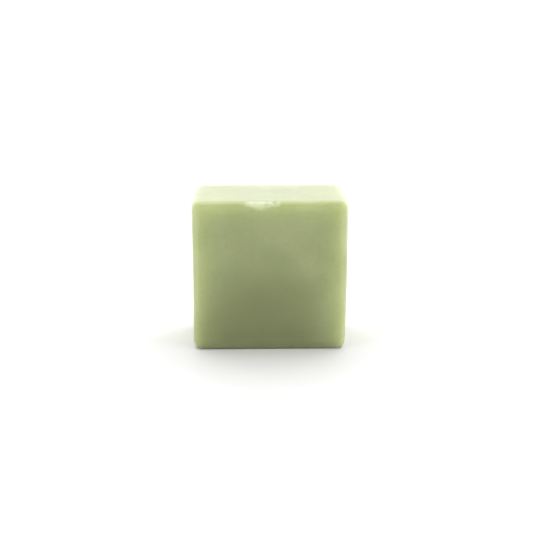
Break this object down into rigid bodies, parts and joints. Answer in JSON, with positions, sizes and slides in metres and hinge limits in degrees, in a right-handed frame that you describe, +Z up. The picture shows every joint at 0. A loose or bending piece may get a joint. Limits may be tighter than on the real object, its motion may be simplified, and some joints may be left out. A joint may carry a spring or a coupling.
{
  "type": "shaving soap block",
  "caption": "Square cake of shaving soap with flat faces, tight edges at the front and broad round edges at the back.",
  "frame": {"origin": "middle of the underside, which is the narrow side that the cake stands on", "axes": "+Z up, +X across the square face, +Y from the front face to the back face through the thickness"},
  "size_m": [0.055, 0.034, 0.055],
  "materials": {
    "soap": "satin, slightly translucent soap"
  },
  "bodies": {
    "root": {"soap_block": "soap"}
  },
  "joints": []
}
